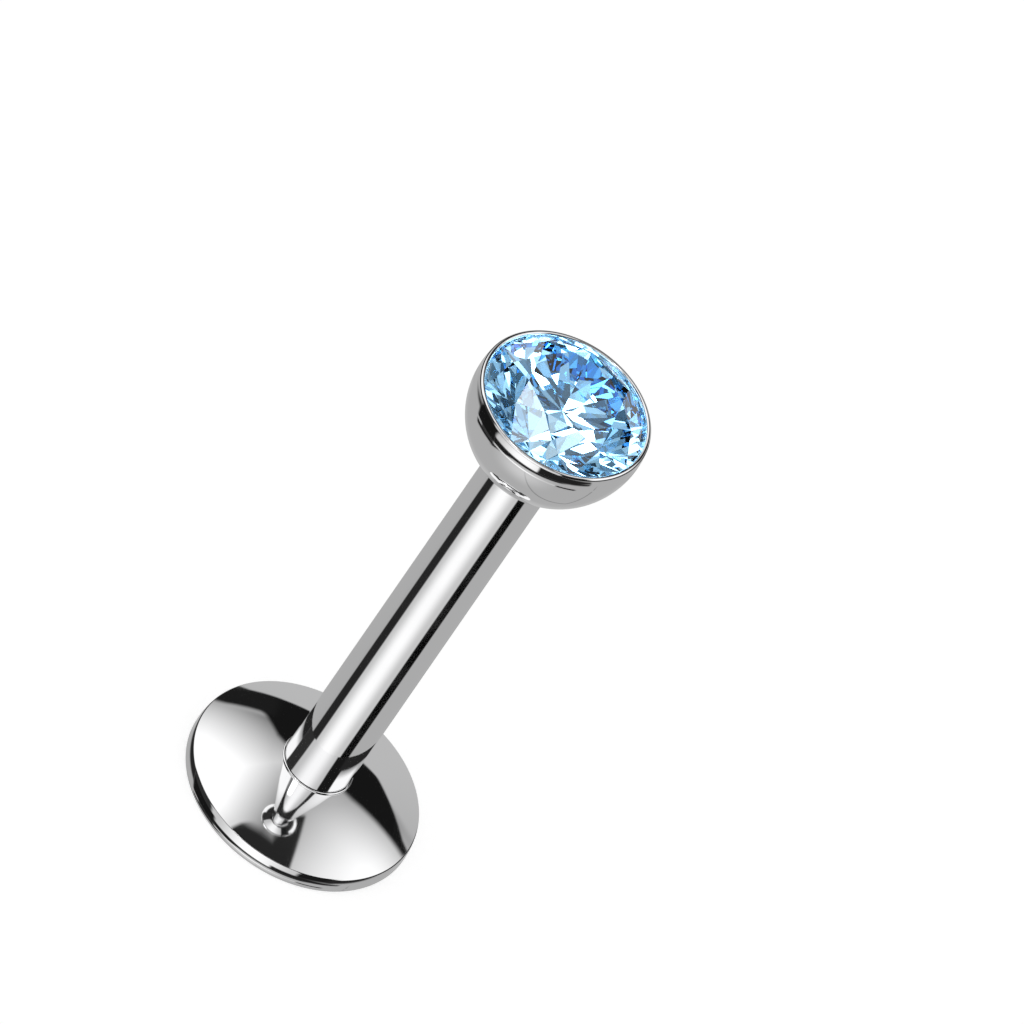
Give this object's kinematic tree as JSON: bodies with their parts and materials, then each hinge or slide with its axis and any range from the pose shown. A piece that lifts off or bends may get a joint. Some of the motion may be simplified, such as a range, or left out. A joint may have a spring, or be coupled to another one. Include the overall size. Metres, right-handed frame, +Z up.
{
  "type": "labret stud",
  "caption": "labret stud: a straight post with a flat-backed domed disc at one end and a round brilliant stone in a ball-shaped cup at the other",
  "frame": {"origin": "the middle of the disc's flat back, which the stud stands on", "axes": "+Z runs up the post's axis from the disc to the stone; +X is to the right and -Y towards the viewer, as the picture sees it once the post is upright"},
  "size_m": [0.004, 0.004, 0.0108],
  "materials": {
    "polished_steel": "mirror-polished steel",
    "blue_stone": "clear light blue, polished facets"
  },
  "bodies": {
    "root": {"disc": "polished_steel", "post": "polished_steel", "cup": "polished_steel", "stone": "blue_stone"}
  },
  "joints": []
}
